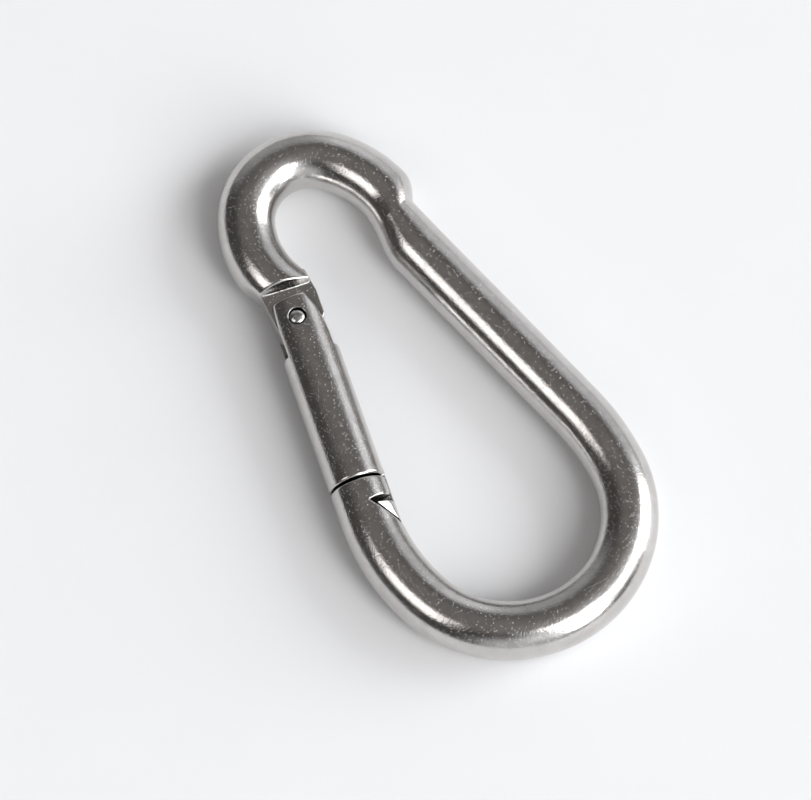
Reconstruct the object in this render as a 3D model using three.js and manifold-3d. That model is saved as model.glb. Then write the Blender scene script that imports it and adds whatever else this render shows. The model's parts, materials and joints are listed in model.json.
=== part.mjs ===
// Pear-shaped stainless spring hook (carbine hook), lying flat.
// Millimetres. Z is up, the hook's long axis is Y with the small bow at +Y, and the
// origin is under the middle of the hook, on the surface that it lies on.

import * as THREE from 'three';
import { mergeVertices } from 'three/addons/utils/BufferGeometryUtils.js';
import Module from 'manifold-3d';

// ---------------------------------------------------------------- driving dimensions

// Round bar that the body and the gate are made of.
const BAR_DIAMETER = 8;
const BAR_SIDES = 20;
const BODY_STEPS = 112;

// The gate's axis leans away from the long axis, and the nose lies on the same line.
const GATE_LEAN = THREE.MathUtils.degToRad(13.12);
const NOSE_FACE = new THREE.Vector2(-14.91, -7.45);

// The bar's centre line from the nose round to the hinge: radii in mm, angles in degrees.
const NOSE_STRAIGHT = 4.5;
const NOSE_BEND = { radius: 28.3, angle: 28.8 };
const LARGE_BOW = { radius: 16.4, angle: 158.9 };
const SPINE_BEND = { radius: 34.8, angle: 16.2 };
const SPINE_LENGTH = 34.0;
const JOGGLE = { length: 6.9, shift: 2.15 };
const BOW_SHOULDER_BEND = { radius: 15.5, angle: 31.9 };
const SMALL_BOW = { radius: 9.0, angle: 110.4 };
const BOW_HINGE_BEND = { radius: 13.5, angle: 60.0 };

// Hinge. In the gate's own frame the origin is the rivet's centre and Y points from the
// nose to the small bow, so the bar's axis is a little to the inner side (+X).
const RIVET_FROM_NOSE_FACE = 24.8;
const RIVET_SIDE_OFFSET = 0.35;
const SHOULDER_Y = 5.2;
const TONGUE_THICKNESS = 4.1;
const TONGUE_ROOT = 1.5;
const TONGUE_OUTER_ROOT_X = -3.45;
const TONGUE_OUTER_TIP_X = -2.8;
const INNER_EDGE_START = new THREE.Vector2(2.85, 8.9);
const INNER_EDGE_END = new THREE.Vector2(3.85, 3.4);
const TONGUE_CORNER_RADIUS = 1.6;
const CAM_HEIGHT = 2.4;
const CAM_TRAVEL_PER_RADIAN = 1.2;
const CAM_RANGE = 0.62;
const CAM_STEPS = 8;
const TONGUE_HOLE_DIAMETER = 2.2;

// Gate.
const GATE_GAP = 0.35;
const EAR_RADIUS = 3.45;
const EAR_TAPER_START = 4.7;
const EAR_STEPS = 18;
const SLOT_WIDTH = 4.5;
const SLOT_DEPTH = 4.7;
const BORE_DIAMETER = 4.0;
const BORE_DEPTH = 14.6;
const RIVET_HOLE_DIAMETER = 2.1;
const RIVET_RECESS_DIAMETER = 2.6;
const RIVET_RECESS_Z = 3.3;

// Latch: a neck in a slot of the nose, with a wedge-shaped cross head in a V notch.
// Places along the gate are measured from the nose face, places across from the bar's axis.
const NECK_THICKNESS = 2.2;
const NECK_INNER_X = 0.2;
const NECK_SLOT_WIDTH = 2.8;
const NECK_SLOT_CLEARANCE = 0.35;
const NOTCH_APEX = new THREE.Vector2(0.5, -3.25);
const NOTCH_TOP_RISE = 0.17;
const NOTCH_LOWER_SLOPE = 1.15;
const HEAD_TOP_GAP = 0.55;
const HEAD_FACE_GAP = 0.3;
const HEAD_LENGTH = 3.3;
const NECK_OVERLAP = 1;

// Rivet.
const RIVET_SHANK_DIAMETER = 1.9;
const RIVET_HEAD_DIAMETER = 2.3;
const RIVET_HEAD_EDGE_Z = 3.5;
const RIVET_HEAD_TOP_Z = 3.95;
const RIVET_DOME_STEPS = 4;

// Plunger and spring in the gate's bore.
const PLUNGER_GAP = 0.1;
const PLUNGER_HEAD_DIAMETER = 3.7;
const PLUNGER_HEAD_LENGTH = 0.8;
const PLUNGER_STEM_DIAMETER = 1.8;
const PLUNGER_STEM_LENGTH = 4.2;
const PLUNGER_EDGE = 0.2;
const SPRING_WIRE_DIAMETER = 0.5;
const SPRING_MEAN_DIAMETER = 2.9;
const SPRING_TURNS = 9;
const SPRING_STEPS_PER_TURN = 14;
const SPRING_WIRE_SIDES = 6;
const SPRING_END_GAP = 0.12;

// Derived places.
const BAR_RADIUS = BAR_DIAMETER / 2;
const BEYOND = 3 * BAR_DIAMETER;
const NOSE_FACE_Y = -RIVET_FROM_NOSE_FACE;
const GATE_END_Y = NOSE_FACE_Y + GATE_GAP;
const PLUNGER_TOP_Y = -CAM_HEIGHT - PLUNGER_GAP;
const PLUNGER_SHOULDER_Y = PLUNGER_TOP_Y - PLUNGER_HEAD_LENGTH;

// ---------------------------------------------------------------- helpers

const wasm = await Module();
wasm.setup();

function toSolid(geometry) {
  const bare = geometry.clone();
  bare.deleteAttribute('normal');
  bare.deleteAttribute('uv');
  const merged = mergeVertices(bare, 1e-5);
  return new wasm.Manifold(new wasm.Mesh({
    numProp: 3,
    vertProperties: new Float32Array(merged.attributes.position.array),
    triVerts: new Uint32Array(merged.index.array),
  }));
}

function toGeometry(solid) {
  const mesh = solid.getMesh();
  const geometry = new THREE.BufferGeometry();
  const position = new THREE.BufferAttribute(new Float32Array(mesh.vertProperties), 3);
  geometry.setAttribute('position', position);
  geometry.setIndex(new THREE.BufferAttribute(new Uint32Array(mesh.triVerts), 1));
  geometry.computeVertexNormals();
  return geometry;
}

// A regular outline with flats on its four sides, as wide across flats as the diameter.
function roundOutline(diameter, sides) {
  const cornerRadius = diameter / 2 / Math.cos(Math.PI / sides);
  const corners = [];
  for (let i = 0; i < sides; i += 1) {
    const angle = (2 * Math.PI * (i + 0.5)) / sides;
    corners.push(new THREE.Vector2(
      cornerRadius * Math.cos(angle),
      cornerRadius * Math.sin(angle),
    ));
  }
  return new THREE.Shape(corners);
}

// A plan outline (XY) as a plate, centred on the plane Z = 0.
function plate(corners, thickness) {
  const geometry = new THREE.ExtrudeGeometry(new THREE.Shape(corners), {
    depth: thickness,
    bevelEnabled: false,
  });
  geometry.translate(0, 0, -thickness / 2);
  return geometry;
}

function rectangle(minX, minY, maxX, maxY) {
  return [
    new THREE.Vector2(minX, minY),
    new THREE.Vector2(maxX, minY),
    new THREE.Vector2(maxX, maxY),
    new THREE.Vector2(minX, maxY),
  ];
}

// A round rod along Y, between two places on the bar's axis.
function rodAlongY(diameter, sides, fromY, toY) {
  const geometry = new THREE.ExtrudeGeometry(roundOutline(diameter, sides), {
    depth: toY - fromY,
    bevelEnabled: false,
  });
  geometry.rotateX(-Math.PI / 2);
  geometry.translate(RIVET_SIDE_OFFSET, fromY, 0);
  return geometry;
}

// A round hole cutter or shank along Z, through the rivet's centre.
function rodAlongZ(diameter, sides, length, middleZ) {
  const geometry = new THREE.CylinderGeometry(diameter / 2, diameter / 2, length, sides);
  geometry.rotateX(Math.PI / 2);
  geometry.translate(0, 0, middleZ);
  return geometry;
}

// ---------------------------------------------------------------- centre line of the body

// A flat path of lines and arcs. In the joggle the bar steps sideways while its sections
// stay square to the stretch that follows, which leaves a sharp corner on the outer side.
class BarPath extends THREE.Curve {
  constructor(start, heading, z) {
    super();
    this.pieces = [];
    this.length = 0;
    this.end = { x: start.x, y: start.y, heading };
    this.z = z;
  }

  add(length, locate) {
    this.pieces.push({ from: this.length, length, locate });
    this.length += length;
    this.end = locate(length);
  }

  line(length) {
    const { x, y, heading } = this.end;
    this.add(length, (s) => ({
      x: x + s * Math.cos(heading),
      y: y + s * Math.sin(heading),
      heading,
    }));
  }

  arc({ radius, angle }) {
    const { x, y, heading } = this.end;
    this.add(radius * THREE.MathUtils.degToRad(angle), (s) => {
      const turned = heading + s / radius;
      return {
        x: x + radius * (Math.sin(turned) - Math.sin(heading)),
        y: y - radius * (Math.cos(turned) - Math.cos(heading)),
        heading: turned,
      };
    });
  }

  joggle({ length, shift }) {
    const { x, y, heading } = this.end;
    this.add(length, (s) => {
      const across = shift * THREE.MathUtils.smoothstep(s, 0, length);
      return {
        x: x + s * Math.cos(heading) + across * Math.sin(heading),
        y: y + s * Math.sin(heading) - across * Math.cos(heading),
        heading,
      };
    });
  }

  locate(t) {
    const s = t * this.length;
    const piece = this.pieces.findLast((candidate) => candidate.from <= s) ?? this.pieces[0];
    return piece.locate(s - piece.from);
  }

  getPoint(t, target = new THREE.Vector3()) {
    const { x, y } = this.locate(t);
    return target.set(x, y, this.z);
  }

  getTangent(t, target = new THREE.Vector3()) {
    const { heading } = this.locate(t);
    return target.set(Math.cos(heading), Math.sin(heading), 0);
  }
}

function bodyPath() {
  const path = new BarPath(NOSE_FACE, -Math.PI / 2 - GATE_LEAN, BAR_RADIUS);
  path.line(NOSE_STRAIGHT);
  path.arc(NOSE_BEND);
  path.arc(LARGE_BOW);
  path.arc(SPINE_BEND);
  path.line(SPINE_LENGTH);
  path.joggle(JOGGLE);
  path.arc(BOW_SHOULDER_BEND);
  path.arc(SMALL_BOW);
  path.arc(BOW_HINGE_BEND);
  return path;
}

// The gate's frame: origin at the rivet's centre, Y along the gate.
const gateFrame = new THREE.Object3D();
gateFrame.position.set(
  NOSE_FACE.x + RIVET_FROM_NOSE_FACE * Math.sin(GATE_LEAN) - RIVET_SIDE_OFFSET * Math.cos(GATE_LEAN),
  NOSE_FACE.y + RIVET_FROM_NOSE_FACE * Math.cos(GATE_LEAN) + RIVET_SIDE_OFFSET * Math.sin(GATE_LEAN),
  BAR_RADIUS,
);
gateFrame.rotation.z = -GATE_LEAN;
gateFrame.updateMatrix();

function inBodyFrame(geometry) {
  return toSolid(geometry.clone().applyMatrix4(gateFrame.matrix));
}

// ---------------------------------------------------------------- latch outlines

function alongGate(across, fromNoseFace) {
  return new THREE.Vector2(RIVET_SIDE_OFFSET + across, NOSE_FACE_Y + fromNoseFace);
}

// The V notch in the nose, open to the inner side.
function notchOutline() {
  const reach = BAR_DIAMETER;
  return [
    alongGate(NOTCH_APEX.x, NOTCH_APEX.y),
    alongGate(NOTCH_APEX.x + reach, NOTCH_APEX.y - NOTCH_LOWER_SLOPE * reach),
    alongGate(NOTCH_APEX.x + reach, NOTCH_APEX.y + NOTCH_TOP_RISE * reach),
  ];
}

// The wedge that fills the notch's lower part, clear of both faces.
function headOutline() {
  const topY = NOTCH_APEX.y - HEAD_TOP_GAP;
  const bottomY = topY - HEAD_LENGTH;
  const faceShift = HEAD_FACE_GAP * Math.hypot(1, NOTCH_LOWER_SLOPE);
  const faceX = (y) => NOTCH_APEX.x + (NOTCH_APEX.y + faceShift - y) / NOTCH_LOWER_SLOPE;
  return [
    alongGate(faceX(topY), topY),
    alongGate(faceX(bottomY), bottomY),
    alongGate(BAR_DIAMETER, bottomY),
    alongGate(BAR_DIAMETER, topY + NOTCH_TOP_RISE),
  ];
}

// ---------------------------------------------------------------- hook body

// The straight inner edge that runs from the bow's end down the tongue.
function innerEdgeAt(y) {
  const along = (y - INNER_EDGE_START.y) / (INNER_EDGE_END.y - INNER_EDGE_START.y);
  return new THREE.Vector2().lerpVectors(INNER_EDGE_START, INNER_EDGE_END, along).setY(y);
}

// The cut that leaves the shoulder face square to the gate and the bow's inner edge straight.
function shoulderCutOutline() {
  return [
    new THREE.Vector2(-BEYOND / 2, SHOULDER_Y - BEYOND / 2),
    new THREE.Vector2(BAR_DIAMETER, SHOULDER_Y - BEYOND / 2),
    new THREE.Vector2(BAR_DIAMETER, INNER_EDGE_START.y),
    INNER_EDGE_START,
    innerEdgeAt(SHOULDER_Y),
    new THREE.Vector2(-BEYOND / 2, SHOULDER_Y),
  ];
}

// The tongue's plan outline. Its lower end is the cam that the plunger bears on: flat at
// rest, then an involute that pushes the plunger down evenly as the gate opens.
function tongueOutline() {
  const corners = [
    innerEdgeAt(SHOULDER_Y + TONGUE_ROOT),
    new THREE.Vector2(TONGUE_OUTER_ROOT_X, SHOULDER_Y + TONGUE_ROOT),
    new THREE.Vector2(TONGUE_OUTER_ROOT_X, SHOULDER_Y),
  ];
  const cornerX = TONGUE_OUTER_TIP_X + TONGUE_CORNER_RADIUS;
  const cornerY = -CAM_HEIGHT + TONGUE_CORNER_RADIUS;
  for (let i = 0; i <= CAM_STEPS; i += 1) {
    const angle = Math.PI + (Math.PI / 2) * (i / CAM_STEPS);
    corners.push(new THREE.Vector2(
      cornerX + TONGUE_CORNER_RADIUS * Math.cos(angle),
      cornerY + TONGUE_CORNER_RADIUS * Math.sin(angle),
    ));
  }
  for (let i = 0; i <= CAM_STEPS; i += 1) {
    const opened = CAM_RANGE * (i / CAM_STEPS);
    const height = CAM_HEIGHT + CAM_TRAVEL_PER_RADIAN * opened;
    corners.push(new THREE.Vector2(
      CAM_TRAVEL_PER_RADIAN * Math.cos(opened) + height * Math.sin(opened),
      CAM_TRAVEL_PER_RADIAN * Math.sin(opened) - height * Math.cos(opened),
    ));
  }
  corners.push(new THREE.Vector2(INNER_EDGE_END.x, 0));
  corners.push(INNER_EDGE_END);
  return corners;
}

function hookBody() {
  const sweep = new THREE.ExtrudeGeometry(roundOutline(BAR_DIAMETER, BAR_SIDES), {
    steps: BODY_STEPS,
    extrudePath: bodyPath(),
  });
  const neckSlot = plate(
    rectangle(
      alongGate(NECK_INNER_X - NECK_SLOT_CLEARANCE, 0).x,
      alongGate(0, NOTCH_APEX.y - HEAD_LENGTH).y,
      alongGate(BAR_DIAMETER, 0).x,
      NOSE_FACE_Y + BAR_RADIUS,
    ),
    NECK_SLOT_WIDTH,
  );
  const rivetHole = rodAlongZ(TONGUE_HOLE_DIAMETER, BAR_SIDES, BAR_DIAMETER, 0);
  const tongue = inBodyFrame(plate(tongueOutline(), TONGUE_THICKNESS))
    .subtract(inBodyFrame(rivetHole));
  return toSolid(sweep)
    .subtract(inBodyFrame(plate(shoulderCutOutline(), BEYOND)))
    .add(tongue)
    .subtract(inBodyFrame(plate(notchOutline(), BEYOND)))
    .subtract(inBodyFrame(neckSlot));
}

// ---------------------------------------------------------------- gate

// Plan outline of the gate's bar: square at the nose, round about the rivet at the ears,
// with straight sides that taper into the round.
function gatePlan() {
  const axis = RIVET_SIDE_OFFSET;
  const corners = [
    new THREE.Vector2(axis - BAR_DIAMETER, GATE_END_Y),
    new THREE.Vector2(axis + BAR_DIAMETER, GATE_END_Y),
    new THREE.Vector2(axis + BAR_DIAMETER, -EAR_TAPER_START),
    new THREE.Vector2(axis + BAR_RADIUS, -EAR_TAPER_START),
  ];
  for (let i = 0; i <= EAR_STEPS; i += 1) {
    const angle = Math.PI * (i / EAR_STEPS);
    corners.push(new THREE.Vector2(
      EAR_RADIUS * Math.cos(angle),
      EAR_RADIUS * Math.sin(angle),
    ));
  }
  corners.push(new THREE.Vector2(axis - BAR_RADIUS, -EAR_TAPER_START));
  corners.push(new THREE.Vector2(axis - BAR_DIAMETER, -EAR_TAPER_START));
  return corners;
}

function gateSolid() {
  const bar = toSolid(rodAlongY(BAR_DIAMETER, BAR_SIDES, 2 * NOSE_FACE_Y, BEYOND));
  const barrel = bar.intersect(toSolid(plate(gatePlan(), BEYOND)));
  const slot = rectangle(-BAR_DIAMETER, -SLOT_DEPTH, BAR_DIAMETER, BAR_DIAMETER);
  const bore = rodAlongY(BORE_DIAMETER, BAR_SIDES, -BORE_DEPTH, BAR_DIAMETER);
  const recessLength = BAR_RADIUS;
  const recessMiddle = RIVET_RECESS_Z + recessLength / 2;
  const neck = rectangle(
    alongGate(NECK_INNER_X, 0).x,
    alongGate(0, NOTCH_APEX.y - HEAD_TOP_GAP - NECK_OVERLAP).y,
    alongGate(BAR_DIAMETER, 0).x,
    GATE_END_Y + NECK_OVERLAP,
  );
  const latch = toSolid(plate(neck, NECK_THICKNESS))
    .add(toSolid(plate(headOutline(), BEYOND)))
    .intersect(bar);
  return barrel
    .subtract(toSolid(plate(slot, SLOT_WIDTH)))
    .subtract(toSolid(bore))
    .subtract(toSolid(rodAlongZ(RIVET_HOLE_DIAMETER, BAR_SIDES, BEYOND, 0)))
    .subtract(toSolid(rodAlongZ(RIVET_RECESS_DIAMETER, BAR_SIDES, recessLength, recessMiddle)))
    .subtract(toSolid(rodAlongZ(RIVET_RECESS_DIAMETER, BAR_SIDES, recessLength, -recessMiddle)))
    .add(latch);
}

// ---------------------------------------------------------------- rivet, plunger, spring

// Headed at both ends: a plain shank and a shallow dome on each side.
function rivetGeometry() {
  const upper = [new THREE.Vector2(RIVET_SHANK_DIAMETER / 2, RIVET_HEAD_EDGE_Z)];
  for (let i = 0; i < RIVET_DOME_STEPS; i += 1) {
    const angle = (Math.PI / 2) * (i / RIVET_DOME_STEPS);
    upper.push(new THREE.Vector2(
      (RIVET_HEAD_DIAMETER / 2) * Math.cos(angle),
      RIVET_HEAD_EDGE_Z + (RIVET_HEAD_TOP_Z - RIVET_HEAD_EDGE_Z) * Math.sin(angle),
    ));
  }
  upper.push(new THREE.Vector2(0, RIVET_HEAD_TOP_Z));
  const lower = upper.map((corner) => new THREE.Vector2(corner.x, -corner.y)).reverse();
  const geometry = new THREE.LatheGeometry([...lower, ...upper], BAR_SIDES);
  geometry.rotateX(Math.PI / 2);
  return geometry;
}

// A mushroom-shaped pin: its head bears on the cam, and its stem guides the spring.
function plungerGeometry() {
  const head = PLUNGER_HEAD_DIAMETER / 2;
  const stem = PLUNGER_STEM_DIAMETER / 2;
  const geometry = new THREE.LatheGeometry([
    new THREE.Vector2(0, PLUNGER_SHOULDER_Y - PLUNGER_STEM_LENGTH),
    new THREE.Vector2(stem, PLUNGER_SHOULDER_Y - PLUNGER_STEM_LENGTH),
    new THREE.Vector2(stem, PLUNGER_SHOULDER_Y),
    new THREE.Vector2(head, PLUNGER_SHOULDER_Y),
    new THREE.Vector2(head, PLUNGER_TOP_Y - PLUNGER_EDGE),
    new THREE.Vector2(head - PLUNGER_EDGE, PLUNGER_TOP_Y),
    new THREE.Vector2(0, PLUNGER_TOP_Y),
  ], BAR_SIDES);
  geometry.translate(RIVET_SIDE_OFFSET, 0, 0);
  return geometry;
}

class SpringCurve extends THREE.Curve {
  getPoint(t, target = new THREE.Vector3()) {
    const inset = SPRING_END_GAP + SPRING_WIRE_DIAMETER / 2;
    const angle = 2 * Math.PI * SPRING_TURNS * t;
    return target.set(
      RIVET_SIDE_OFFSET + (SPRING_MEAN_DIAMETER / 2) * Math.cos(angle),
      THREE.MathUtils.lerp(-BORE_DEPTH + inset, PLUNGER_SHOULDER_Y - inset, t),
      (SPRING_MEAN_DIAMETER / 2) * Math.sin(angle),
    );
  }
}

function springGeometry() {
  return new THREE.ExtrudeGeometry(roundOutline(SPRING_WIRE_DIAMETER, SPRING_WIRE_SIDES), {
    steps: SPRING_TURNS * SPRING_STEPS_PER_TURN,
    extrudePath: new SpringCurve(),
  });
}

// ---------------------------------------------------------------- the hook

function steel(color, roughness) {
  return new THREE.MeshStandardMaterial({ color, roughness, metalness: 1 });
}

function part(name, geometry, material) {
  const mesh = new THREE.Mesh(geometry, material);
  mesh.name = name;
  return mesh;
}

const polished = steel(0xb4b3b0, 0.18);
const bright = steel(0xc4c3c0, 0.25);
const drawn = steel(0xa09e9a, 0.35);

const springHook = new THREE.Group();
springHook.add(part('hook_body', toGeometry(hookBody()), polished));

const gateGroup = new THREE.Group();
gateGroup.position.copy(gateFrame.position);
gateGroup.rotation.copy(gateFrame.rotation);
gateGroup.add(part('gate', toGeometry(gateSolid()), polished));
gateGroup.add(part('hinge_rivet', rivetGeometry(), bright));
gateGroup.add(part('plunger', plungerGeometry(), drawn));
gateGroup.add(part('spring', springGeometry(), drawn));
springHook.add(gateGroup);

export default springHook;
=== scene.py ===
"""Looks of the pear-shaped spring hook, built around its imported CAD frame.

The frame's boxes and joint positions place everything. The hook's body and its gate are worked out
in millimetres as signed distance fields (negative inside the piece), because a field gives every
cut edge a true rounded rim, and are turned into meshes in metres. The rivet and the plunger are
turned from profiles, and the spring is a coiled wire.
"""

import json
import math

import bpy
import numpy as np
from mathutils import Matrix, Vector


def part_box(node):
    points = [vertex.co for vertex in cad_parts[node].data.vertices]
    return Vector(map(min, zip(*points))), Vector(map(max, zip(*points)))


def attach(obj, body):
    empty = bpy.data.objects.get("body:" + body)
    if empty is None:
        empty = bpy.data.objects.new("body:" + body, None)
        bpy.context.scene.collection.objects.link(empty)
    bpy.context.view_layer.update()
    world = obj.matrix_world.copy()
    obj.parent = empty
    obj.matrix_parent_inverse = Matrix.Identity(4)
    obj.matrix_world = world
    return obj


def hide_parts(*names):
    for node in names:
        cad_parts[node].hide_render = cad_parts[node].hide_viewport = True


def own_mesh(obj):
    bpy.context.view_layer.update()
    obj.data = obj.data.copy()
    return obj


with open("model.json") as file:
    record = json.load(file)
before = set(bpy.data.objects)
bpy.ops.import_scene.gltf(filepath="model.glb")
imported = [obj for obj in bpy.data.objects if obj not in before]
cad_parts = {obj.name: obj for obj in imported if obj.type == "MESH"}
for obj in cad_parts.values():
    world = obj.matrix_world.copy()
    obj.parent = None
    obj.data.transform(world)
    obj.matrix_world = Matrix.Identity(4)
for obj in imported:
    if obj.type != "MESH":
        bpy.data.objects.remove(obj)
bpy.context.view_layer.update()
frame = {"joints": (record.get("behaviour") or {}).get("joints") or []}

MM = 0.001

# ---------------------------------------------------------------- dimensions, in millimetres

BAR_RADIUS = 4.0
GATE_LEAN = math.radians(13.12)
NOSE_FACE = (-14.91, -7.45)

# Centre line of the bar from the nose round to the hinge: (radius, degrees) for the arcs. It starts
# a little before the nose's face, so that the face is a clean cut.
NOSE_OVERRUN = 2.0
NOSE_CUT_LENGTH = 6.0
NOSE_STRAIGHT = 4.5
NOSE_BEND = (28.3, 28.8)
LARGE_BOW = (16.4, 158.9)
SPINE_BEND = (34.8, 16.2)
SPINE_LENGTH = 31.5
# The joggle steps the bar outward. Its outer side starts at a crease this far along it.
JOGGLE_LENGTH = 9.4
JOGGLE_CREASE = 5.4
JOGGLE_SHIFT = 2.15
BOW_SHOULDER_BEND = (15.5, 31.9)
SMALL_BOW = (9.0, 110.4)
BOW_HINGE_BEND = (13.5, 60.0)

# The gate's own frame: origin at the rivet, Y along the gate to the small bow, X inward.
RIVET_FROM_NOSE_FACE = 24.8
BAR_AXIS_X = 0.35
NOSE_FACE_Y = -RIVET_FROM_NOSE_FACE
GATE_END_Y = NOSE_FACE_Y + 0.35
# The two ears narrow towards the rivet and end in these corners.
EAR_TAPER_START = 4.7
EAR_END = [(-2.7, 3.05), (2.0, 3.25), (3.1, 1.0)]
EAR_CORNER_RADIUS = 0.5
SLOT_HALF_WIDTH = 2.25
SLOT_DEPTH = 4.7
BORE_RADIUS = 2.0
BORE_DEPTH = 14.6
RIVET_HOLE_RADIUS = 1.05
RIVET_RECESS_RADIUS = 1.22
RIVET_RECESS_Z = 3.3

# The bow ends in a face that slopes down to the tongue, with its outer corner cut at a slant.
SHOULDER_TOP_Y = 5.35
SHOULDER_FOOT_Y = 4.85
SHOULDER_OUTER_SIDE = [(-3.85, 5.4), (-4.42, 6.5), (-5.1, 7.3), (-6.3, 8.2)]
SHOULDER_CORNER_RADIUS = 0.45
TONGUE_HALF_THICKNESS = 2.05
TONGUE_ROOT = 1.5
TONGUE_OUTER_ROOT_X = -3.72
TONGUE_OUTER_TIP_X = -3.02
TONGUE_CORNER_RADIUS = 2.3
TONGUE_HOLE_RADIUS = 1.1
INNER_EDGE_START = (2.85, 8.9)
INNER_EDGE_END = (3.85, 3.4)

# The tongue's end is a cam that pushes the plunger by an even travel per radian.
CAM_HEIGHT = 2.4
CAM_TRAVEL_PER_RADIAN = 1.2
CAM_RANGE = 0.62
CAM_STEPS = 8

# The V notch in the nose, from the middle of its face, and the gate's head that lies in it.
NOTCH_APEX = (0.5, -3.25)
NOTCH_TOP_RISE = 0.17
NOTCH_LOWER_SLOPE = 1.15
HEAD_TOP_GAP = 0.55
HEAD_FACE_GAP = 0.3
HEAD_LENGTH = 3.3

# A flat facet on the head's upper and lower side: its direction (inward, along the gate, up) and
# how far it lies from the bar's axis beside the notch's apex.
HEAD_FACET = (0.549, -0.168, 0.819)
HEAD_FACET_REACH = 3.85

NECK_INNER_X = 0.2
NECK_HALF_THICKNESS = 1.1
NECK_OVERLAP = 1.0
NECK_SLOT_HALF_WIDTH = 1.4
NECK_SLOT_CLEARANCE = 0.35

# How far edges are rounded, and inner corners filled.
RIM = 0.3
NOTCH_RIM = 0.14
EAR_RIM = 0.4
FILLET = 0.3

# Mesh cells, a distance that is beyond every surface, and slack for rounding errors in angles.
BODY_CELL = 0.2
GATE_CELL = 0.14
FAR = 30.0
ARC_START_SLACK = 1e-9
ARC_END_SLACK = 1e-6

# ---------------------------------------------------------------- camera

PHOTO_WIDTH = 811
FOCAL_PIXELS = 9586.2
SENSOR_WIDTH = 36.0
CAMERA_ELEVATION = math.radians(70)
CAMERA_YAW = math.radians(-31.77)
CAMERA_DISTANCE = 1.3
CAMERA_TARGET = Vector((-2.81, -0.07, BAR_RADIUS)) * MM


def add_camera():
    data = bpy.data.cameras.new("camera")
    data.sensor_width = SENSOR_WIDTH
    data.lens = FOCAL_PIXELS / PHOTO_WIDTH * SENSOR_WIDTH
    data.clip_start = 0.05
    camera = bpy.data.objects.new("camera", data)
    bpy.context.scene.collection.objects.link(camera)
    ahead = Vector((-math.sin(CAMERA_YAW), math.cos(CAMERA_YAW), 0)) * math.cos(CAMERA_ELEVATION)
    ahead.z = -math.sin(CAMERA_ELEVATION)
    camera.location = CAMERA_TARGET - ahead * CAMERA_DISTANCE
    camera.rotation_euler = (math.pi / 2 - CAMERA_ELEVATION, 0, CAMERA_YAW)
    bpy.context.scene.camera = camera


add_camera()

# ---------------------------------------------------------------- distance fields


def circle(x, y, centre, radius):
    """Signed distance to a circle in plan."""
    return np.hypot(x - centre[0], y - centre[1]) - radius


def outline(x, y, corners):
    """Signed distance to a closed outline in plan."""
    nearest = np.full(np.broadcast(x, y).shape, FAR**2)
    inside = np.zeros(nearest.shape, bool)
    for i, (bx, by) in enumerate(corners):
        ax, ay = corners[i - 1]
        edge_x, edge_y = bx - ax, by - ay
        from_x, from_y = x - ax, y - ay
        share = (from_x * edge_x + from_y * edge_y) / (edge_x**2 + edge_y**2)
        share = np.clip(share, 0, 1)
        gap = (from_x - share * edge_x) ** 2 + (from_y - share * edge_y) ** 2
        nearest = np.minimum(nearest, gap)
        left = edge_x * from_y > edge_y * from_x
        crossing = ((y >= ay) & (y < by) & left) | ((y < ay) & (y >= by) & ~left)
        inside ^= crossing
    return np.where(inside, -1, 1) * np.sqrt(nearest)


def both(a, b, rim):
    """Where two solids overlap, with the edge between their faces rounded."""
    corner = np.hypot(np.maximum(a + rim, 0), np.maximum(b + rim, 0))
    return np.minimum(np.maximum(a, b), -rim) + corner


def without(a, b, rim):
    """The solid a with b cut out of it, with the cut's edge rounded."""
    return both(a, -b, rim)


def joined(a, b, fillet):
    """Two solids as one, with the inner corner between them filled."""
    corner = np.hypot(np.maximum(fillet - a, 0), np.maximum(fillet - b, 0))
    return np.maximum(np.minimum(a, b), fillet) - corner


def ease(share):
    """Goes from 0 to 1 with a level start and end."""
    share = np.clip(share, 0, 1)
    return share**2 * (3 - 2 * share)


def rounded_corners(corners, radius, steps=5):
    """A chain of corners in a plane, with all but the first and last rounded."""
    chain = [corners[0]]
    for before, corner, after in zip(corners, corners[1:], corners[2:]):
        corner = Vector(corner)
        to_before = (Vector(before) - corner).normalized()
        to_after = (Vector(after) - corner).normalized()
        half = to_before.angle(to_after) / 2
        setback = radius / math.tan(half)
        centre = corner + (to_before + to_after).normalized() * radius / math.sin(half)
        start = corner + to_before * setback - centre
        end = corner + to_after * setback - centre
        for i in range(steps + 1):
            chain.append(tuple(centre + start.slerp(end, i / steps) * radius))
    chain.append(corners[-1])
    return chain


def to_gate_frame(x, y, pivot):
    """Plan coordinates in the gate's own frame."""
    dx, dy = x - pivot[0], y - pivot[1]
    cos, sin = math.cos(GATE_LEAN), math.sin(GATE_LEAN)
    return dx * cos - dy * sin, dx * sin + dy * cos


# ---------------------------------------------------------------- the body's centre line


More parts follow.
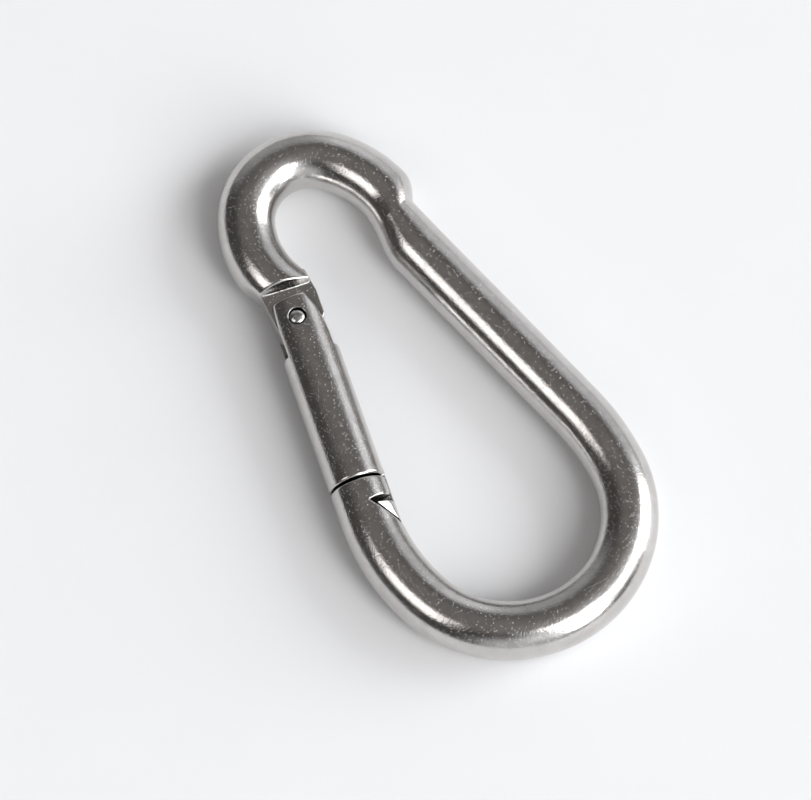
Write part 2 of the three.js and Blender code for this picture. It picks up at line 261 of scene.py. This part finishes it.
class BarPath:
    """A flat chain of lines, arcs and one joggle, that knows how far a point is from it."""

    def __init__(self, start, heading):
        self.x, self.y = start
        self.heading = heading
        self.stretches = []

    def line(self, length, shift=0.0, crease=0.0):
        """A straight stretch. With a shift the bar steps to the right as it goes: smoothly on
        its left side, and from a crease on its right side."""
        x, y, heading = self.x, self.y, self.heading
        cos, sin = math.cos(heading), math.sin(heading)

        def across(px, py):
            along = (px - x) * cos + (py - y) * sin
            left = (py - y) * cos - (px - x) * sin
            if shift:
                smooth = ease(along / length)
                left_side = ease((left + shift / 2) / (2 * BAR_RADIUS) + 0.5)
                rest = 1 - np.clip((along - crease) / (length - crease), 0, 1)
                creased = 1 - rest**2
                left = left + shift * (creased + (smooth - creased) * left_side)
            return np.where((along >= 0) & (along <= length), np.abs(left), FAR)

        self.stretches.append(across)
        self.x += length * cos + shift * sin
        self.y += length * sin - shift * cos

    def arc(self, radius, degrees):
        """A bend to the left."""
        heading = self.heading
        centre_x = self.x - radius * math.sin(heading)
        centre_y = self.y + radius * math.cos(heading)
        turn = math.radians(degrees)

        def across(px, py):
            dx, dy = px - centre_x, py - centre_y
            turned = np.arctan2(dy, dx) - heading + math.pi / 2
            turned = np.mod(turned + ARC_START_SLACK, 2 * math.pi)
            on_arc = turned <= turn + ARC_END_SLACK
            return np.where(on_arc, np.abs(np.hypot(dx, dy) - radius), FAR)

        self.stretches.append(across)
        self.heading = heading + turn
        self.x = centre_x + radius * math.sin(self.heading)
        self.y = centre_y - radius * math.cos(self.heading)

    def across(self, px, py):
        """How far points in plan are from the centre line."""
        nearest = self.stretches[0](px, py)
        for stretch in self.stretches[1:]:
            nearest = np.minimum(nearest, stretch(px, py))
        return nearest


def body_path():
    heading = -math.pi / 2 - GATE_LEAN
    start = (
        NOSE_FACE[0] - NOSE_OVERRUN * math.cos(heading),
        NOSE_FACE[1] - NOSE_OVERRUN * math.sin(heading),
    )
    path = BarPath(start, heading)
    path.line(NOSE_OVERRUN + NOSE_STRAIGHT)
    path.arc(*NOSE_BEND)
    path.arc(*LARGE_BOW)
    path.arc(*SPINE_BEND)
    path.line(SPINE_LENGTH)
    path.line(JOGGLE_LENGTH, JOGGLE_SHIFT, JOGGLE_CREASE)
    path.arc(*BOW_SHOULDER_BEND)
    path.arc(*SMALL_BOW)
    path.arc(*BOW_HINGE_BEND)
    return path


# ---------------------------------------------------------------- outlines in the gate's frame


def from_nose(across, along):
    """A point in the gate's frame, given from the middle of the nose's face."""
    return (BAR_AXIS_X + across, NOSE_FACE_Y + along)


def notch_outline():
    reach = 2 * BAR_RADIUS
    apex_x, apex_y = NOTCH_APEX
    return [
        from_nose(apex_x, apex_y),
        from_nose(apex_x + reach, apex_y - NOTCH_LOWER_SLOPE * reach),
        from_nose(apex_x + reach, apex_y + NOTCH_TOP_RISE * reach),
    ]


def head_outline():
    apex_x, apex_y = NOTCH_APEX
    top = apex_y - HEAD_TOP_GAP
    bottom = top - HEAD_LENGTH
    face_shift = HEAD_FACE_GAP * math.hypot(1, NOTCH_LOWER_SLOPE)

    def face_x(y):
        return apex_x + (apex_y + face_shift - y) / NOTCH_LOWER_SLOPE

    return [
        from_nose(face_x(top), top),
        from_nose(face_x(bottom), bottom),
        from_nose(2 * BAR_RADIUS, bottom),
        from_nose(2 * BAR_RADIUS, top + NOTCH_TOP_RISE),
    ]


def inner_edge(y):
    """A point on the straight inner edge of the tongue and the bow's end."""
    (start_x, start_y), (end_x, end_y) = INNER_EDGE_START, INNER_EDGE_END
    return (start_x + (end_x - start_x) * (y - start_y) / (end_y - start_y), y)


def shoulder_cut_outline():
    """What is cut from the bow's end: its outer corner comes off at a slant."""
    reach = 3 * BAR_RADIUS
    face = rounded_corners([
        inner_edge(SHOULDER_TOP_Y),
        *SHOULDER_OUTER_SIDE,
        (-reach, SHOULDER_OUTER_SIDE[-1][1]),
    ], SHOULDER_CORNER_RADIUS)
    return [
        (-reach, SHOULDER_TOP_Y - reach),
        (2 * BAR_RADIUS, SHOULDER_TOP_Y - reach),
        (2 * BAR_RADIUS, INNER_EDGE_START[1]),
        INNER_EDGE_START,
        *face,
    ]


def tongue_outline():
    """The tongue in plan. Its end is flat at rest and an involute beyond that."""
    corners = [
        inner_edge(SHOULDER_TOP_Y + TONGUE_ROOT),
        (TONGUE_OUTER_ROOT_X, SHOULDER_TOP_Y + TONGUE_ROOT),
        (TONGUE_OUTER_ROOT_X, SHOULDER_TOP_Y),
    ]
    corner_x = TONGUE_OUTER_TIP_X + TONGUE_CORNER_RADIUS
    corner_y = TONGUE_CORNER_RADIUS - CAM_HEIGHT
    for i in range(CAM_STEPS + 1):
        angle = math.pi * (1 + i / CAM_STEPS / 2)
        corners.append((
            corner_x + TONGUE_CORNER_RADIUS * math.cos(angle),
            corner_y + TONGUE_CORNER_RADIUS * math.sin(angle),
        ))
    for i in range(CAM_STEPS + 1):
        opened = CAM_RANGE * i / CAM_STEPS
        height = CAM_HEIGHT + CAM_TRAVEL_PER_RADIAN * opened
        corners.append((
            CAM_TRAVEL_PER_RADIAN * math.cos(opened) + height * math.sin(opened),
            CAM_TRAVEL_PER_RADIAN * math.sin(opened) - height * math.cos(opened),
        ))
    corners.append((INNER_EDGE_END[0], 0))
    corners.append(INNER_EDGE_END)
    return corners


def box_outline(low_x, low_y, high_x, high_y):
    return [(low_x, low_y), (high_x, low_y), (high_x, high_y), (low_x, high_y)]


# ---------------------------------------------------------------- the two main solids


def body_field(path, pivot):
    """The hook's body in the row frame."""
    nose_cut = box_outline(
        -2 * BAR_RADIUS, NOSE_FACE_Y, 3 * BAR_RADIUS, NOSE_FACE_Y + NOSE_CUT_LENGTH
    )
    slot = box_outline(
        from_nose(NECK_INNER_X - NECK_SLOT_CLEARANCE, 0)[0],
        from_nose(0, NOTCH_APEX[1] - HEAD_LENGTH)[1],
        3 * BAR_RADIUS,
        NOSE_FACE_Y + BAR_RADIUS,
    )

    def field(x, y, z):
        gate_x, gate_y = to_gate_frame(x, y, pivot)
        height = z - BAR_RADIUS
        solid = np.hypot(path.across(x, y), height) - BAR_RADIUS
        solid = without(solid, outline(gate_x, gate_y, nose_cut), RIM)
        slope = (SHOULDER_TOP_Y - SHOULDER_FOOT_Y) / (BAR_RADIUS - TONGUE_HALF_THICKNESS)
        setback = slope * (BAR_RADIUS - np.maximum(np.abs(height), TONGUE_HALF_THICKNESS))
        shoulder_cut = outline(gate_x, gate_y + setback, shoulder_cut_outline())
        solid = without(solid, shoulder_cut, RIM)
        tongue = outline(gate_x, gate_y, tongue_outline())
        tongue = both(tongue, np.abs(height) - TONGUE_HALF_THICKNESS, FILLET / 2)
        solid = joined(solid, tongue, FILLET)
        solid = without(solid, circle(gate_x, gate_y, (0, 0), TONGUE_HOLE_RADIUS), NOTCH_RIM)
        solid = without(solid, outline(gate_x, gate_y, notch_outline()), NOTCH_RIM)
        neck_slot = outline(gate_x, gate_y, slot)
        neck_slot = np.maximum(neck_slot, np.abs(height) - NECK_SLOT_HALF_WIDTH)
        return without(solid, neck_slot, NOTCH_RIM)

    return field


def gate_plan():
    """The gate in plan, wider than its bar wherever the bar's round side is its edge."""
    taper = rounded_corners([
        (BAR_AXIS_X - BAR_RADIUS, -EAR_TAPER_START),
        *EAR_END,
        (BAR_AXIS_X + BAR_RADIUS, -EAR_TAPER_START),
    ], EAR_CORNER_RADIUS)
    return [
        (2 * BAR_RADIUS, GATE_END_Y),
        (-2 * BAR_RADIUS, GATE_END_Y),
        (-2 * BAR_RADIUS, -EAR_TAPER_START),
        *taper,
        (2 * BAR_RADIUS, -EAR_TAPER_START),
    ]


def gate_field(x, y, height):
    """The gate in its own frame, with height counted from the bar's axis."""
    round_bar = np.hypot(x - BAR_AXIS_X, height)
    solid = both(round_bar - BAR_RADIUS, outline(x, y, gate_plan()), EAR_RIM)
    slot = np.maximum(-SLOT_DEPTH - y, np.abs(height) - SLOT_HALF_WIDTH)
    solid = without(solid, slot, NOTCH_RIM)
    solid = without(solid, np.maximum(round_bar - BORE_RADIUS, -BORE_DEPTH - y), NOTCH_RIM)
    solid = without(solid, circle(x, y, (0, 0), RIVET_HOLE_RADIUS), NOTCH_RIM / 2)
    recess = circle(x, y, (0, 0), RIVET_RECESS_RADIUS)
    recess = np.maximum(recess, RIVET_RECESS_Z - np.abs(height))
    solid = without(solid, recess, NOTCH_RIM)
    neck = outline(x, y, box_outline(
        from_nose(NECK_INNER_X, 0)[0],
        from_nose(0, NOTCH_APEX[1] - HEAD_TOP_GAP - NECK_OVERLAP)[1],
        3 * BAR_RADIUS,
        GATE_END_Y + NECK_OVERLAP,
    ))
    neck = np.maximum(neck, np.abs(height) - NECK_HALF_THICKNESS)
    latch = joined(neck, outline(x, y, head_outline()), FILLET / 2)
    latch = both(latch, round_bar - BAR_RADIUS, NOTCH_RIM)
    apex_y = from_nose(0, NOTCH_APEX[1])[1]
    facet = (x - BAR_AXIS_X) * HEAD_FACET[0] + (y - apex_y) * HEAD_FACET[1]
    facet = facet + np.abs(height) * HEAD_FACET[2] - HEAD_FACET_REACH
    latch = both(latch, facet, NOTCH_RIM)
    return joined(solid, latch, FILLET / 2)


# ---------------------------------------------------------------- meshes

SETTLE_ROUNDS = 4
SETTLE_LONGEST_MOVE = 0.1
SETTLE_LEAST_STEEPNESS = 0.05
SLOPE_STEP = 1e-3


def gradient(field, points):
    """How a field changes along X, Y and Z at each point."""
    slopes = []
    for axis in range(3):
        ahead, behind = points.copy(), points.copy()
        ahead[:, axis] += SLOPE_STEP
        behind[:, axis] -= SLOPE_STEP
        slopes.append((field(*ahead.T) - field(*behind.T)) / (2 * SLOPE_STEP))
    return np.stack(slopes, axis=1)


def settle(field, points):
    """Moves points onto the surface. Returns them with the surface's normals."""
    for _ in range(SETTLE_ROUNDS):
        slope = gradient(field, points)
        steepness = np.maximum((slope**2).sum(axis=1), SETTLE_LEAST_STEEPNESS)
        move = field(*points.T) / steepness
        move = np.clip(move, -SETTLE_LONGEST_MOVE, SETTLE_LONGEST_MOVE)
        points = points - slope * move[:, None]
    slope = gradient(field, points)
    return points, slope / np.linalg.norm(slope, axis=1, keepdims=True)


def field_mesh(name, field, low, high, cell):
    """Surface nets: one vertex in each cell that the surface crosses, then onto the surface."""
    axes = [np.arange(low[i] - cell, high[i] + 2 * cell, cell) for i in range(3)]
    values = field(axes[0][:, None, None], axes[1][None, :, None], axes[2][None, None, :])
    inside = values < 0
    cells = tuple(n - 1 for n in inside.shape)
    total = np.zeros(cells + (3,))
    count = np.zeros(cells, int)
    crossings = []
    for axis in range(3):
        first = [slice(0, -1) if i == axis else slice(None) for i in range(3)]
        second = [slice(1, None) if i == axis else slice(None) for i in range(3)]
        start, end = values[tuple(first)], values[tuple(second)]
        where = np.argwhere(inside[tuple(first)] != inside[tuple(second)])
        begin, finish = start[tuple(where.T)], end[tuple(where.T)]
        point = where.astype(float)
        point[:, axis] += begin / (begin - finish)
        others = [i for i in range(3) if i != axis]
        corner_ids = []
        for da, db in ((0, 0), (1, 0), (1, 1), (0, 1)):
            owner = where.copy()
            owner[:, others[0]] -= da
            owner[:, others[1]] -= db
            np.add.at(total, tuple(owner.T), point)
            np.add.at(count, tuple(owner.T), 1)
            corner_ids.append(np.ravel_multi_index(tuple(owner.T), cells))
        quads = np.stack(corner_ids, axis=1)
        flip = (begin < 0) == (axis == 1)
        quads[flip] = quads[flip][:, ::-1]
        crossings.append(quads)
    used = np.argwhere(count > 0)
    index = np.full(count.size, -1)
    index[np.ravel_multi_index(tuple(used.T), cells)] = np.arange(len(used))
    points = total[tuple(used.T)] / count[tuple(used.T)][:, None]
    points = np.array([axis[0] for axis in axes]) + points * cell
    points, normals = settle(field, points)
    return build_mesh(name, points, index[np.concatenate(crossings)], normals)


def build_mesh(name, points, faces, normals):
    """A smooth object of four-sided faces, with its normals given."""
    mesh = bpy.data.meshes.new(name)
    mesh.vertices.add(len(points))
    mesh.vertices.foreach_set("co", (points * MM).ravel())
    mesh.loops.add(faces.size)
    mesh.loops.foreach_set("vertex_index", faces.ravel().astype(np.int32))
    mesh.polygons.add(len(faces))
    mesh.polygons.foreach_set("loop_start", np.arange(0, faces.size, 4, dtype=np.int32))
    mesh.update(calc_edges=True)
    mesh.validate()
    mesh.polygons.foreach_set("use_smooth", np.ones(len(mesh.polygons), bool))
    mesh.normals_split_custom_set_from_vertices(normals)
    piece = bpy.data.objects.new(name, mesh)
    bpy.context.scene.collection.objects.link(piece)
    return piece


LATHE_SIDES = 64


def lathe(name, profile):
    """A turned piece about its own Z. Its profile of (radius, height) starts and ends on its axis,
    at its lowest and highest point."""
    sides = LATHE_SIDES
    ring_angles = np.arange(sides) * 2 * math.pi / sides
    points = []
    for radius, height in profile[1:-1]:
        for angle in ring_angles:
            points.append((radius * math.cos(angle), radius * math.sin(angle), height))
    rings = len(profile) - 2
    faces = []
    for ring in range(rings - 1):
        for i in range(sides):
            j = (i + 1) % sides
            below, above = ring * sides, (ring + 1) * sides
            faces.append((below + i, below + j, above + j, above + i))
    bottom, top = len(points), len(points) + 1
    points.append((0, 0, profile[0][1]))
    points.append((0, 0, profile[-1][1]))
    for i in range(sides):
        j = (i + 1) % sides
        faces.append((bottom, j, i))
        faces.append((top, (rings - 1) * sides + i, (rings - 1) * sides + j))
    mesh = bpy.data.meshes.new(name)
    mesh.from_pydata([Vector(point) * MM for point in points], [], faces)
    mesh.update()
    mesh.shade_smooth()
    piece = bpy.data.objects.new(name, mesh)
    bpy.context.scene.collection.objects.link(piece)
    return piece


def place(piece, pivot):
    """Moves a piece's vertices from the gate's own frame to where the gate is in the hook."""
    piece.data.transform(Matrix.Translation(pivot) @ Matrix.Rotation(-GATE_LEAN, 4, "Z"))
    return piece


# ---------------------------------------------------------------- the five pieces

PIVOT = Vector(next(j for j in frame["joints"] if j["name"] == "gate_hinge")["pos_m"])
PIVOT_MM = tuple(PIVOT / MM)


def make_hook_body():
    low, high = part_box("hook_body")
    field = body_field(body_path(), PIVOT_MM)
    return field_mesh("hook_body_forged", field, low / MM, high / MM, BODY_CELL)


def make_gate():
    head_bottom_y = NOSE_FACE_Y + NOTCH_APEX[1] - HEAD_TOP_GAP - HEAD_LENGTH
    low = (BAR_AXIS_X - BAR_RADIUS, head_bottom_y, -BAR_RADIUS)
    high = (BAR_AXIS_X + BAR_RADIUS, EAR_END[1][1], BAR_RADIUS)
    return place(field_mesh("gate_bored", gate_field, low, high, GATE_CELL), PIVOT)


RIVET_SHANK_RADIUS = 0.95
RIVET_HEAD_RADIUS = 1.15
RIVET_HEAD_EDGE_Z = 3.38
RIVET_HEAD_TOP_Z = 3.95
RIVET_DOME_STEPS = 12


def make_rivet():
    upper = [(RIVET_SHANK_RADIUS, RIVET_HEAD_EDGE_Z)]
    for i in range(RIVET_DOME_STEPS):
        angle = math.pi / 2 * i / RIVET_DOME_STEPS
        rise = (RIVET_HEAD_TOP_Z - RIVET_HEAD_EDGE_Z) * math.sin(angle)
        upper.append((RIVET_HEAD_RADIUS * math.cos(angle), RIVET_HEAD_EDGE_Z + rise))
    upper.append((0, RIVET_HEAD_TOP_Z))
    lower = [(radius, -height) for radius, height in reversed(upper)]
    return place(lathe("hinge_rivet_domed", lower + upper), PIVOT)


PLUNGER_GAP = 0.1
PLUNGER_TOP_Y = -CAM_HEIGHT - PLUNGER_GAP
PLUNGER_HEAD_RADIUS = 1.85
PLUNGER_HEAD_LENGTH = 0.8
PLUNGER_STEM_RADIUS = 0.9
PLUNGER_STEM_LENGTH = 4.2
PLUNGER_EDGE = 0.18


def make_plunger():
    shoulder = PLUNGER_TOP_Y - PLUNGER_HEAD_LENGTH
    profile = rounded_corners([
        (0, shoulder - PLUNGER_STEM_LENGTH),
        (PLUNGER_STEM_RADIUS, shoulder - PLUNGER_STEM_LENGTH),
        (PLUNGER_STEM_RADIUS, shoulder),
        (PLUNGER_HEAD_RADIUS, shoulder),
        (PLUNGER_HEAD_RADIUS, PLUNGER_TOP_Y),
        (0, PLUNGER_TOP_Y),
    ], PLUNGER_EDGE)
    plunger = lathe("plunger_turned", profile)
    plunger.data.transform(Matrix.Rotation(-math.pi / 2, 4, "X"))
    plunger.data.transform(Matrix.Translation((BAR_AXIS_X * MM, 0, 0)))
    return place(plunger, PIVOT)


SPRING_WIRE_RADIUS = 0.25
SPRING_MEAN_RADIUS = 1.45
SPRING_TURNS = 9
SPRING_STEPS_PER_TURN = 32
SPRING_BEVEL_STEPS = 5
SPRING_END_GAP = 0.12


def make_spring():
    inset = SPRING_END_GAP + SPRING_WIRE_RADIUS
    start = -BORE_DEPTH + inset
    end = PLUNGER_TOP_Y - PLUNGER_HEAD_LENGTH - inset
    curve = bpy.data.curves.new("spring_wire", "CURVE")
    curve.dimensions = "3D"
    curve.bevel_depth = SPRING_WIRE_RADIUS * MM
    curve.bevel_resolution = SPRING_BEVEL_STEPS
    curve.use_fill_caps = True
    steps = SPRING_TURNS * SPRING_STEPS_PER_TURN
    wire = curve.splines.new("POLY")
    wire.points.add(steps)
    for i, point in enumerate(wire.points):
        angle = 2 * math.pi * i / SPRING_STEPS_PER_TURN
        point.co = (
            (BAR_AXIS_X + SPRING_MEAN_RADIUS * math.cos(angle)) * MM,
            (start + (end - start) * i / steps) * MM,
            SPRING_MEAN_RADIUS * math.sin(angle) * MM,
            1,
        )
    drawn = bpy.data.objects.new("spring_wire", curve)
    bpy.context.scene.collection.objects.link(drawn)
    bpy.context.view_layer.update()
    mesh = bpy.data.meshes.new_from_object(drawn)
    bpy.data.objects.remove(drawn)
    mesh.shade_smooth()
    spring = bpy.data.objects.new("spring_coiled", mesh)
    bpy.context.scene.collection.objects.link(spring)
    return place(spring, PIVOT)


# ---------------------------------------------------------------- steel


class Nodes:
    """Adds nodes to a tree and links them, with constants given by socket name."""

    def __init__(self, tree):
        self.tree = tree

    def add(self, kind, settings=None, **inputs):
        node = self.tree.nodes.new(kind)
        for name, value in (settings or {}).items():
            setattr(node, name, value)
        for name, value in inputs.items():
            self.feed(node.inputs[name.replace("_", " ")], value)
        return node

    def feed(self, socket, value):
        if isinstance(value, bpy.types.NodeSocket):
            self.tree.links.new(value, socket)
        else:
            socket.default_value = value


# Pattern sizes and depths in millimetres. Cloud, gloss and swell are patterns per metre.
CLOUD_SCALE = 420.0
CLOUD_SPAN = (0.35, 0.65)
GLOSS_SCALE = 900.0
GLOSS_SPAN = (0.35, 0.7)
SWELL_SCALE = 700.0
SWELL_HEIGHT = 0.010
GRAIN_HEIGHT = 0.024
PIT_SPACING = 0.34
PIT_RADIUS = 0.07
PIT_DEPTH = 0.035

# Painted shade in crevices: share of a surface's surroundings that is open, where the steel's
# colour is fully bright and where it is darkest.
PAINTED_SHADE_OPEN = 0.8
PAINTED_SHADE_SHUT = 0.25
PAINTED_SHADE_TONE = 0.12
PAINTED_SHADE_SAMPLES = 8


def add_tint(nodes, place_in_piece, dark, bright, painted_shade_reach):
    """The steel's colour: cloudy between two tints, with shade painted in as a darker colour in
    crevices.
    """
    cloud = nodes.add("ShaderNodeTexNoise", Vector=place_in_piece,
                      Scale=CLOUD_SCALE, Detail=6.0, Roughness=0.6)
    tint = nodes.add("ShaderNodeValToRGB", Fac=cloud.outputs["Fac"])
    for stop, position, colour in zip(tint.color_ramp.elements, CLOUD_SPAN, (dark, bright)):
        stop.position = position
        stop.color = (*colour, 1)
    # Painted shade: ambient occlusion darkens the base colour in crevices and gaps.
    painted_shade = nodes.add("ShaderNodeAmbientOcclusion", {"samples": PAINTED_SHADE_SAMPLES},
                        Distance=painted_shade_reach * MM)
    tone = nodes.add("ShaderNodeMapRange", Value=painted_shade.outputs["AO"],
                     From_Min=PAINTED_SHADE_SHUT, From_Max=PAINTED_SHADE_OPEN, To_Min=PAINTED_SHADE_TONE)
    shaded = nodes.add("ShaderNodeVectorMath", {"operation": "SCALE"}, Scale=tone.outputs["Result"])
    nodes.feed(shaded.inputs[0], tint.outputs["Color"])
    return shaded.outputs["Vector"]


def add_gloss(nodes, place_in_piece, smooth, rough):
    """The steel's roughness, which varies in patches."""
    patches = nodes.add("ShaderNodeTexNoise", Vector=place_in_piece,
                        Scale=GLOSS_SCALE, Detail=8.0, Roughness=0.7)
    spread = nodes.add("ShaderNodeMapRange", Value=patches.outputs["Fac"],
                       From_Min=GLOSS_SPAN[0], From_Max=GLOSS_SPAN[1], To_Min=smooth, To_Max=rough)
    return spread.outputs["Result"]


def add_relief(nodes, place_in_piece, grain):
    """The steel's fine relief: a tumbled grain, a slight swell and sparse pits."""
    speckle = nodes.add("ShaderNodeTexNoise", Vector=place_in_piece,
                        Scale=1 / (grain * MM), Detail=4.0)
    fine = nodes.add("ShaderNodeBump", Height=speckle.outputs["Fac"], Distance=GRAIN_HEIGHT * MM)
    swell = nodes.add("ShaderNodeTexNoise", Vector=place_in_piece, Scale=SWELL_SCALE, Detail=2.0)
    broad = nodes.add("ShaderNodeBump", Height=swell.outputs["Fac"], Distance=SWELL_HEIGHT * MM,
                      Normal=fine.outputs["Normal"])
    cells = nodes.add("ShaderNodeTexVoronoi", Vector=place_in_piece, Scale=1 / (PIT_SPACING * MM))
    pit = nodes.add("ShaderNodeMapRange", {"interpolation_type": "SMOOTHSTEP"},
                    Value=cells.outputs["Distance"],
                    From_Min=0.0, From_Max=PIT_RADIUS / PIT_SPACING)
    pitted = nodes.add("ShaderNodeBump", Height=pit.outputs["Result"], Distance=PIT_DEPTH * MM,
                       Normal=broad.outputs["Normal"])
    return pitted.outputs["Normal"]


def steel(name, dark, bright, smooth, rough, grain, painted_shade_reach):
    """Tumbled, polished steel, with shade painted into its colour in crevices. Grain and the
    painted shade's reach are in millimetres.
    """
    material = bpy.data.materials.new(name)
    material.use_nodes = True
    nodes = Nodes(material.node_tree)
    shader = material.node_tree.nodes["Principled BSDF"]
    shader.inputs["Metallic"].default_value = 1.0
    place_in_piece = nodes.add("ShaderNodeTexCoord").outputs["Object"]
    tint = add_tint(nodes, place_in_piece, dark, bright, painted_shade_reach)
    nodes.feed(shader.inputs["Base Color"], tint)
    nodes.feed(shader.inputs["Roughness"], add_gloss(nodes, place_in_piece, smooth, rough))
    nodes.feed(shader.inputs["Normal"], add_relief(nodes, place_in_piece, grain))
    return material


def finish_piece(piece, node, body, material):
    piece.data.materials.clear()
    piece.data.materials.append(material)
    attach(piece, body)
    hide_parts(node)


forged = steel(
    "forged_steel", dark=(0.56, 0.54, 0.525), bright=(0.63, 0.615, 0.60),
    smooth=0.10, rough=0.20, grain=0.26, painted_shade_reach=1.1,
)
bored = steel(
    "bored_steel", dark=(0.56, 0.54, 0.525), bright=(0.63, 0.615, 0.60),
    smooth=0.11, rough=0.21, grain=0.24, painted_shade_reach=4.8,
)
headed = steel(
    "headed_steel", dark=(0.60, 0.59, 0.58), bright=(0.68, 0.67, 0.66),
    smooth=0.08, rough=0.16, grain=0.20, painted_shade_reach=1.1,
)
turned = steel(
    "turned_steel", dark=(0.50, 0.49, 0.48), bright=(0.58, 0.57, 0.56),
    smooth=0.18, rough=0.32, grain=0.16, painted_shade_reach=1.1,
)
drawn_wire = steel(
    "drawn_wire_steel", dark=(0.46, 0.45, 0.44), bright=(0.54, 0.53, 0.52),
    smooth=0.20, rough=0.34, grain=0.12, painted_shade_reach=1.1,
)

finish_piece(make_hook_body(), "hook_body", "hook", forged)
finish_piece(make_gate(), "gate", "gate_arm", bored)
finish_piece(make_rivet(), "hinge_rivet", "gate_arm", headed)
finish_piece(make_plunger(), "plunger", "gate_plunger", turned)
spring = make_spring()
finish_piece(spring, "spring", "gate_arm", drawn_wire)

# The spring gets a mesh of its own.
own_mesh(spring)

# ---------------------------------------------------------------- floor, room and lights


def direction(azimuth, elevation):
    """A unit vector: azimuth counts from +X towards +Y, both in degrees."""
    across, up = math.radians(azimuth), math.radians(elevation)
    return Vector((math.cos(up) * math.cos(across), math.cos(up) * math.sin(across), math.sin(up)))


FLOOR_SIZE = 4.0
FLOOR_ROUGHNESS = 0.6
FLOOR_SHEEN = 0.25
FLOOR_TONES = ((0.815, 0.82, 0.83, 1), (0.835, 0.84, 0.85, 1))
FLOOR_MOTTLE_SCALE = 60.0


def add_floor():
    bpy.ops.mesh.primitive_plane_add(size=FLOOR_SIZE, location=(0, 0, 0))
    floor = bpy.context.object
    floor.name = "floor"
    material = bpy.data.materials.new("floor_white")
    material.use_nodes = True
    nodes = Nodes(material.node_tree)
    shader = material.node_tree.nodes["Principled BSDF"]
    shader.inputs["Roughness"].default_value = FLOOR_ROUGHNESS
    shader.inputs["Specular IOR Level"].default_value = FLOOR_SHEEN
    spot = nodes.add("ShaderNodeTexCoord").outputs["Object"]
    mottle = nodes.add("ShaderNodeTexNoise", Vector=spot, Scale=FLOOR_MOTTLE_SCALE, Detail=4.0)
    tone = nodes.add("ShaderNodeValToRGB", Fac=mottle.outputs["Fac"])
    for stop, colour in zip(tone.color_ramp.elements, FLOOR_TONES):
        stop.color = colour
    nodes.feed(shader.inputs["Base Color"], tone.outputs["Color"])
    floor.data.materials.append(material)


# The room's even light, and its soft glows: azimuth, elevation, full out to and gone by (degrees),
# and colour.
ROOM_BASE = (0.075, 0.070, 0.068)
ROOM_GLOWS = [
    (0, 90, 5, 50, (0.13, 0.124, 0.120)),
    (70, 12, 8, 45, (0.33, 0.335, 0.34)),
    (28, 18, 6, 34, (0.56, 0.57, 0.59)),
    (-112, 15, 5, 35, (0.55, 0.56, 0.57)),
    (-45, 45, 10, 45, (0.35, 0.355, 0.36)),
    (-17, 22, 12, 32, (0.75, 0.76, 0.77)),
    (-75, 36, 10, 36, (0.70, 0.71, 0.72)),
]


def add_room():
    world = bpy.data.worlds.new("room")
    world.use_nodes = True
    bpy.context.scene.world = world
    nodes = Nodes(world.node_tree)
    towards = nodes.add("ShaderNodeTexCoord").outputs["Generated"]
    red, green, blue = ROOM_BASE
    total = nodes.add("ShaderNodeCombineXYZ", X=red, Y=green, Z=blue).outputs["Vector"]
    for azimuth, elevation, full, gone, colour in ROOM_GLOWS:
        facing = nodes.add("ShaderNodeVectorMath", {"operation": "DOT_PRODUCT"})
        nodes.feed(facing.inputs[0], towards)
        nodes.feed(facing.inputs[1], direction(azimuth, elevation))
        share = nodes.add("ShaderNodeMapRange", {"interpolation_type": "SMOOTHSTEP"},
                          Value=facing.outputs["Value"],
                          From_Min=math.cos(math.radians(gone)),
                          From_Max=math.cos(math.radians(full)))
        glow = nodes.add("ShaderNodeVectorMath", {"operation": "SCALE"},
                         Scale=share.outputs["Result"])
        nodes.feed(glow.inputs[0], colour)
        summed = nodes.add("ShaderNodeVectorMath", {"operation": "ADD"})
        nodes.feed(summed.inputs[0], total)
        nodes.feed(summed.inputs[1], glow.outputs["Vector"])
        total = summed.outputs["Vector"]
    nodes.feed(world.node_tree.nodes["Background"].inputs["Color"], total)


# Softboxes: name, azimuth, elevation, angular width and height, roll (degrees), brightness and
# colour.
SOFTBOXES = [
    ("lamp", 178, 47, 28, 27, 16, 2.0, (1.0, 0.975, 0.96)),
    ("window_right", -17, 22, 26, 36, 0, 6.8, (0.97, 0.985, 1.0)),
    ("window_middle", -42, 36, 22, 30, 0, 1.8, (0.97, 0.985, 1.0)),
    ("window_front", -74.6, 36, 19, 48, 0, 6.8, (0.985, 0.99, 1.0)),
]
SOFTBOX_DISTANCE = 3.0


def add_softbox(name, azimuth, elevation, width, height, roll, brightness, colour):
    data = bpy.data.lights.new(name, "AREA")
    data.shape = "RECTANGLE"
    data.size = 2 * SOFTBOX_DISTANCE * math.tan(math.radians(width / 2))
    data.size_y = 2 * SOFTBOX_DISTANCE * math.tan(math.radians(height / 2))
    data.energy = brightness * math.pi * data.size * data.size_y
    data.color = colour
    light = bpy.data.objects.new(name, data)
    bpy.context.scene.collection.objects.link(light)
    towards = direction(azimuth, elevation)
    light.location = towards * SOFTBOX_DISTANCE
    aim = towards.to_track_quat("Z", "Y").to_matrix().to_4x4()
    light.rotation_euler = (aim @ Matrix.Rotation(math.radians(roll), 4, "Z")).to_euler()


add_floor()
add_room()
for softbox in SOFTBOXES:
    add_softbox(*softbox)
bpy.context.scene.view_settings.view_transform = "Standard"
